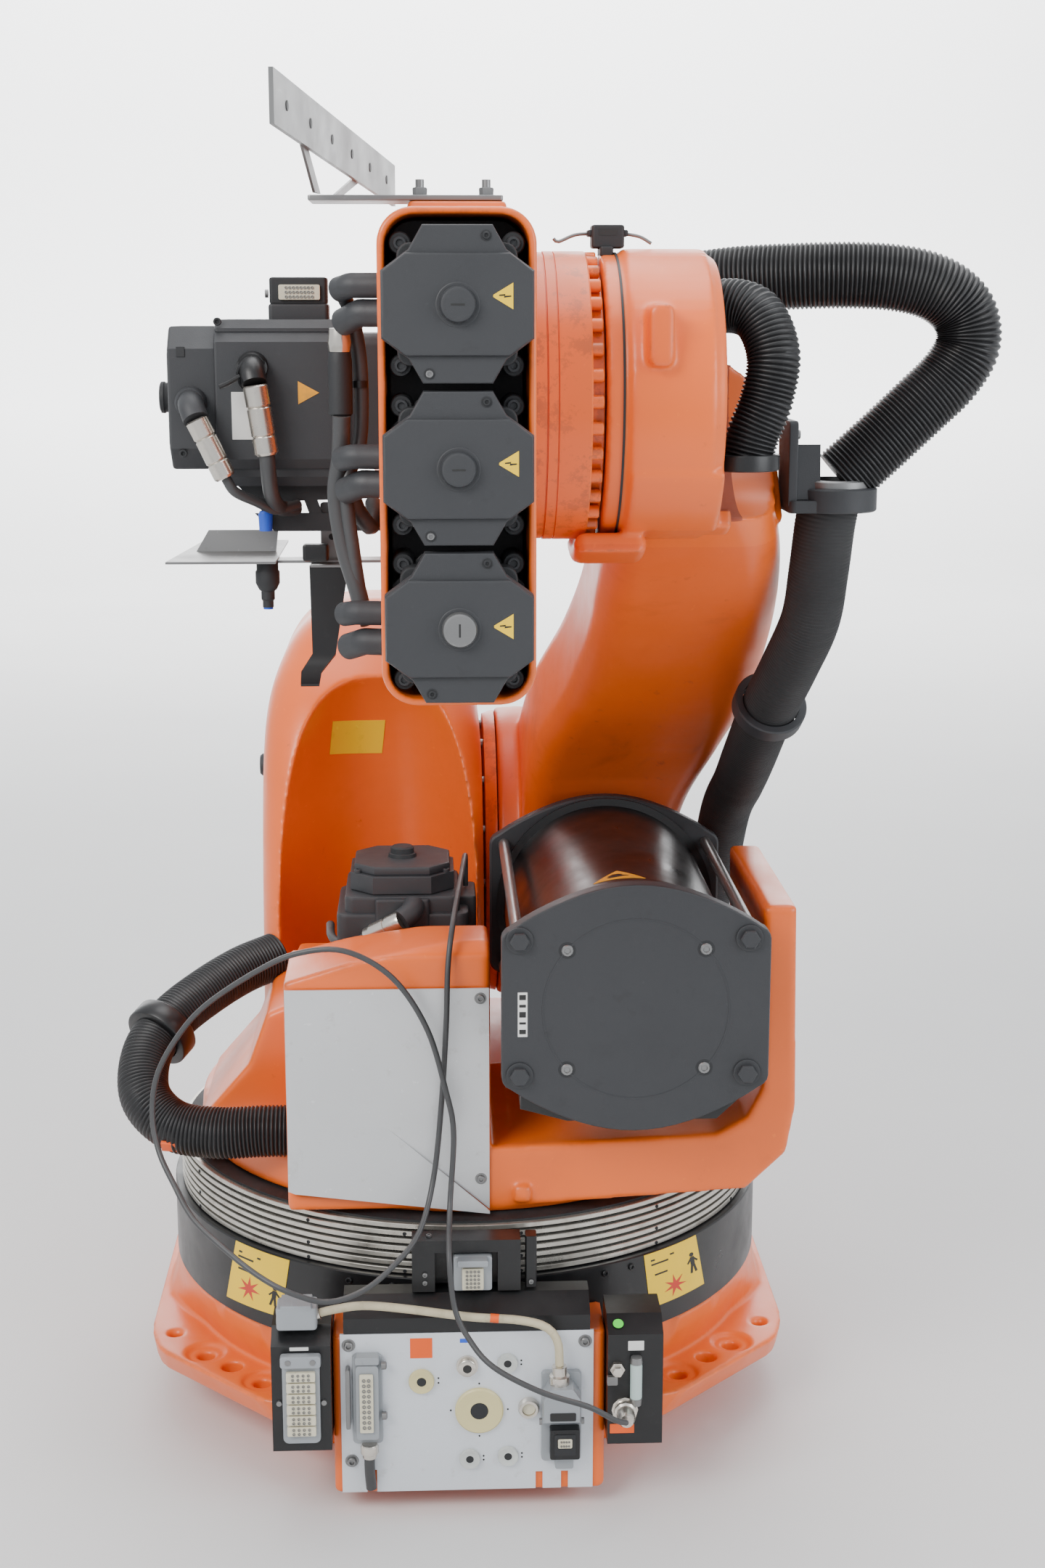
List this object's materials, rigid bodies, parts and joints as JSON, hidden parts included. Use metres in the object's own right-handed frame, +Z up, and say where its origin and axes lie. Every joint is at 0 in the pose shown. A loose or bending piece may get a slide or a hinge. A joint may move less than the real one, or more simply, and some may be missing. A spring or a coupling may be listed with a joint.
{
  "type": "six-axis industrial robot arm",
  "caption": "Floor-standing heavy six-axis robot arm with spring-damper counterbalance, stacked wrist motors and hose package, folded back in its transport pose.",
  "frame": {"origin": "on axis 1 (the vertical turning axis) at the underside of the base flange", "axes": "+Z up along axis 1; +Y the way the arm reaches out of its base; +X to the right when looking along +Y, the side the link arm is on"},
  "size_m": [1.2145, 1.7809, 1.907],
  "materials": {
    "orange_paint": "satin orange paint over castings, scuffed",
    "black_paint": "satin black paint",
    "charcoal_casting": "matte charcoal powder coat",
    "bare_metal": "bare, brushed",
    "hose_rubber": "matte",
    "beige_jacket": "soiled cable jacket"
  },
  "bodies": {
    "base": {"base_frame": "orange_paint", "base_drum": "black_paint", "cable_slide_ring": "bare_metal", "connector_panel": "bare_metal", "panel_top_cover": "black_paint", "left_connector_box": "black_paint", "right_connector_box": "black_paint", "slide_ring_bracket": "black_paint", "bracket_connector": "bare_metal", "panel_multipin_connector": "bare_metal", "panel_plug_large": "bare_metal", "panel_hood_connector": "bare_metal", "left_box_connector": "bare_metal", "right_box_connector": "bare_metal", "loose_cable_hood": "charcoal_casting", "hood_cable": "beige_jacket", "axis_1_cable": "black_paint"},
    "column": {"rotating_column": "orange_paint", "sheet_cover": "bare_metal", "axis_2_gear": "orange_paint", "axis_1_motor": "charcoal_casting", "axis_1_motor_cover": "charcoal_casting", "axis_2_motor": "charcoal_casting", "base_hose": "hose_rubber"},
    "counterbalance": {"counterbalance_front_plate": "charcoal_casting", "counterbalance_cylinder": "black_paint", "counterbalance_far_plate": "charcoal_casting", "tie_rod_left_low": "bare_metal", "tie_rod_left_top": "bare_metal", "tie_rod_right_low": "bare_metal", "tie_rod_right_top": "bare_metal"},
    "counterbalance_rod": {"counterbalance_rod": "bare_metal"},
    "link_arm": {"link_arm": "orange_paint", "counterbalance_pin": "bare_metal", "hose_bracket": "charcoal_casting", "side_hose": "hose_rubber", "side_hose_clamp": "black_paint", "small_hose_clamp": "black_paint", "small_hose": "hose_rubber", "big_hose": "hose_rubber"},
    "forearm": {"forearm_housing": "orange_paint", "motor_mounting_plate": "black_paint", "wrist_motor_upper": "charcoal_casting", "wrist_motor_middle": "charcoal_casting", "wrist_motor_lower": "charcoal_casting", "motor_cap_upper": "bare_metal", "motor_cap_middle": "bare_metal", "motor_cap_lower": "bare_metal", "axis_3_gear": "orange_paint", "axis_3_motor": "charcoal_casting", "axis_3_motor_cap": "charcoal_casting", "axis_3_power_plug": "bare_metal", "axis_3_encoder_plug": "bare_metal", "top_bracket_plate": "bare_metal", "tray": "bare_metal", "cable_strap": "black_paint"},
    "wrist_roll": {"wrist_roll_body": "orange_paint"},
    "wrist_bend": {"wrist_bend_body": "orange_paint"},
    "tool": {"tool_flange": "bare_metal"}
  },
  "joints": [
    {"name": "axis_1", "type": "hinge", "parent": "base", "child": "column", "pos_m": [0, 0, 0.406], "axis": [0, 0, 1], "range_deg": [-185, 185], "deforming": ["axis_1_cable"]},
    {"name": "axis_2", "type": "hinge", "parent": "column", "child": "link_arm", "pos_m": [0, 0.35, 0.75], "axis": [-1, 0, 0], "range_deg": [0, 120], "deforming": ["side_hose"]},
    {"name": "axis_3", "type": "hinge", "parent": "link_arm", "child": "forearm", "pos_m": [0, -0.59909, 1.56347], "axis": [1, 0, 0], "range_deg": [-8, 250], "deforming": ["big_hose"]},
    {"name": "axis_4", "type": "hinge", "parent": "forearm", "child": "wrist_roll", "pos_m": [-0.018, 0.1, 1.5], "axis": [0, 1, 0], "range_deg": [-350, 350]},
    {"name": "axis_5", "type": "hinge", "parent": "wrist_roll", "child": "wrist_bend", "pos_m": [-0.018, 0.50091, 1.5], "axis": [-1, 0, 0], "range_deg": [-115, 115]},
    {"name": "axis_6", "type": "hinge", "parent": "wrist_bend", "child": "tool", "pos_m": [-0.018, 0.70091, 1.5], "axis": [0, 1, 0], "range_deg": [-350, 350]},
    {"name": "counterbalance_tilt", "type": "hinge", "parent": "column", "child": "counterbalance", "pos_m": [0.22, -0.3, 0.756], "axis": [1, 0, 0], "range_deg": [0, 7.3]},
    {"name": "counterbalance_rod_swing", "type": "hinge", "parent": "link_arm", "child": "counterbalance_rod", "pos_m": [0.22, 0.24, 0.756], "axis": [1, 0, 0], "range_deg": [0, 127.5]}
  ],
  "couplings": [
    {"joint": "counterbalance_tilt", "follows": "axis_2", "ratio": 0.06},
    {"joint": "counterbalance_rod_swing", "follows": "axis_2", "ratio": 1.06}
  ]
}
